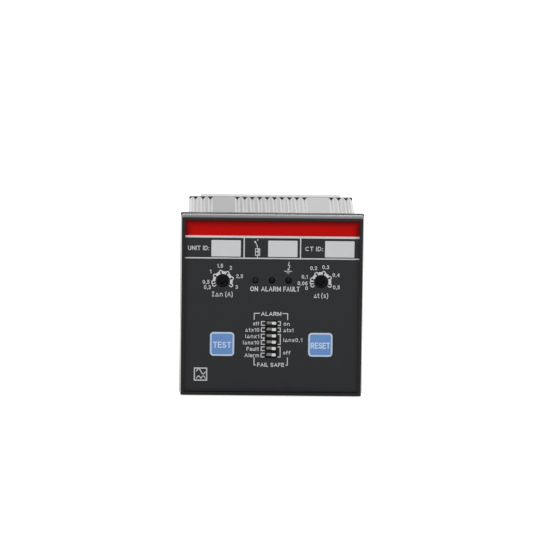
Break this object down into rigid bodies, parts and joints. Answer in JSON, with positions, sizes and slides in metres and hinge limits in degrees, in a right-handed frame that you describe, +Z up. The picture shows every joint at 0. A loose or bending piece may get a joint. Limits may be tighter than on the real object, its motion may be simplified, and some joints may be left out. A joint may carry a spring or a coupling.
{
  "type": "residual current monitor",
  "caption": "Square panel-mount residual current monitor: black front frame with printed label, dials, lamps, keys and slide switch on a ribbed grey housing with plug-in screw terminals.",
  "frame": {"origin": "bottom centre of the box round the object, with the front frame upright", "axes": "+X to the right as seen from the front, +Y from the front rim into the panel, +Z up"},
  "size_m": [0.072, 0.077, 0.072],
  "materials": {
    "frame_plastic": "fine-grained moulded",
    "cover_plastic": "satin moulded",
    "seal_rubber": "matt",
    "label_face": "printed film, matt",
    "red_field": "printed, semi-matt",
    "white_ink": "printed, matt",
    "tag_field": "printed, matt",
    "key_border": "satin moulded",
    "key_blue": "fine-grained moulded",
    "switch_black": "moulded",
    "plunger_red": "moulded",
    "dial_black": "satin moulded",
    "trimmer_blue": "moulded",
    "lens_green": "clear-tinted, unlit",
    "lens_red": "clear-tinted, unlit",
    "spacer_black": "moulded",
    "tinned_metal": "tinned",
    "dip_black": "moulded",
    "slide_white": "moulded",
    "board_green": "solder mask",
    "screw_steel": "nickel plated",
    "housing_grey": "fine-grained moulded",
    "header_green": "moulded",
    "chip_black": "moulded",
    "plug_grey": "satin moulded",
    "core_steel": "laminated, varnished",
    "bobbin_black": "moulded",
    "winding_tape": "taped winding",
    "relay_black": "moulded",
    "can_blue": "sleeved can",
    "varistor_blue": "dipped coating"
  },
  "bodies": {
    "case": {"front_frame": "frame_plastic", "panel_seal": "seal_rubber", "label_film": "label_face", "header_field": "red_field", "label_print": "white_ink", "write_on_tags": "tag_field", "test_switch": "switch_black", "reset_switch": "switch_black", "current_trimmer": "trimmer_blue", "time_trimmer": "trimmer_blue", "lamp_on": "lens_green", "lamp_alarm": "lens_red", "lamp_fault": "lens_red", "lamp_spacers": "spacer_black", "lamp_leads": "tinned_metal", "dip_body": "dip_black", "dip_pins": "tinned_metal", "front_board": "board_green", "board_screws": "screw_steel", "housing": "housing_grey", "rear_cover": "cover_plastic", "signal_board": "board_green", "power_board": "board_green", "board_links": "spacer_black", "link_pins": "tinned_metal", "processor": "chip_black", "amplifiers": "chip_black", "upper_header": "header_green", "lower_header": "header_green", "header_pins": "tinned_metal", "upper_plug": "plug_grey", "upper_clamps": "tinned_metal", "upper_screws": "screw_steel", "lower_plug": "plug_grey", "lower_clamps": "tinned_metal", "lower_screws": "screw_steel", "transformer_core": "core_steel", "transformer_bobbin": "bobbin_black", "transformer_winding": "winding_tape", "trip_relay": "relay_black", "alarm_relay": "relay_black", "main_capacitor": "can_blue", "varistor": "varistor_blue", "rectifier": "chip_black"},
    "test_key": {"test_key": "key_border", "test_key_pad": "key_blue", "test_plunger": "plunger_red"},
    "reset_key": {"reset_key": "key_border", "reset_key_pad": "key_blue", "reset_plunger": "plunger_red"},
    "current_dial": {"current_dial": "dial_black"},
    "time_dial": {"time_dial": "dial_black"},
    "dip_slide_1": {"dip_slide_1": "slide_white"},
    "dip_slide_2": {"dip_slide_2": "slide_white"},
    "dip_slide_3": {"dip_slide_3": "slide_white"},
    "dip_slide_4": {"dip_slide_4": "slide_white"},
    "dip_slide_5": {"dip_slide_5": "slide_white"},
    "dip_slide_6": {"dip_slide_6": "slide_white"}
  },
  "joints": [
    {"name": "test_key_press", "type": "slide", "parent": "case", "child": "test_key", "axis": [0, 1, 0], "range_m": [0, 0.0005], "stiffness_N_per_m": 1500, "springref_m": -0.0003},
    {"name": "reset_key_press", "type": "slide", "parent": "case", "child": "reset_key", "axis": [0, 1, 0], "range_m": [0, 0.0005], "stiffness_N_per_m": 1500, "springref_m": -0.0003},
    {"name": "current_dial_turn", "type": "hinge", "parent": "case", "child": "current_dial", "pos_m": [-0.0193, -0.036, 0.0461], "axis": [0, 1, 0], "range_deg": [-17, 213]},
    {"name": "time_dial_turn", "type": "hinge", "parent": "case", "child": "time_dial", "pos_m": [0.0193, -0.036, 0.0461], "axis": [0, 1, 0], "range_deg": [-17, 208]},
    {"name": "dip_slide_1_set", "type": "slide", "parent": "case", "child": "dip_slide_1", "axis": [-1, 0, 0], "range_m": [0, 0.002]},
    {"name": "dip_slide_2_set", "type": "slide", "parent": "case", "child": "dip_slide_2", "axis": [-1, 0, 0], "range_m": [0, 0.002]},
    {"name": "dip_slide_3_set", "type": "slide", "parent": "case", "child": "dip_slide_3", "axis": [-1, 0, 0], "range_m": [0, 0.002]},
    {"name": "dip_slide_4_set", "type": "slide", "parent": "case", "child": "dip_slide_4", "axis": [-1, 0, 0], "range_m": [0, 0.002]},
    {"name": "dip_slide_5_set", "type": "slide", "parent": "case", "child": "dip_slide_5", "axis": [-1, 0, 0], "range_m": [0, 0.002]},
    {"name": "dip_slide_6_set", "type": "slide", "parent": "case", "child": "dip_slide_6", "axis": [-1, 0, 0], "range_m": [0, 0.002]}
  ]
}
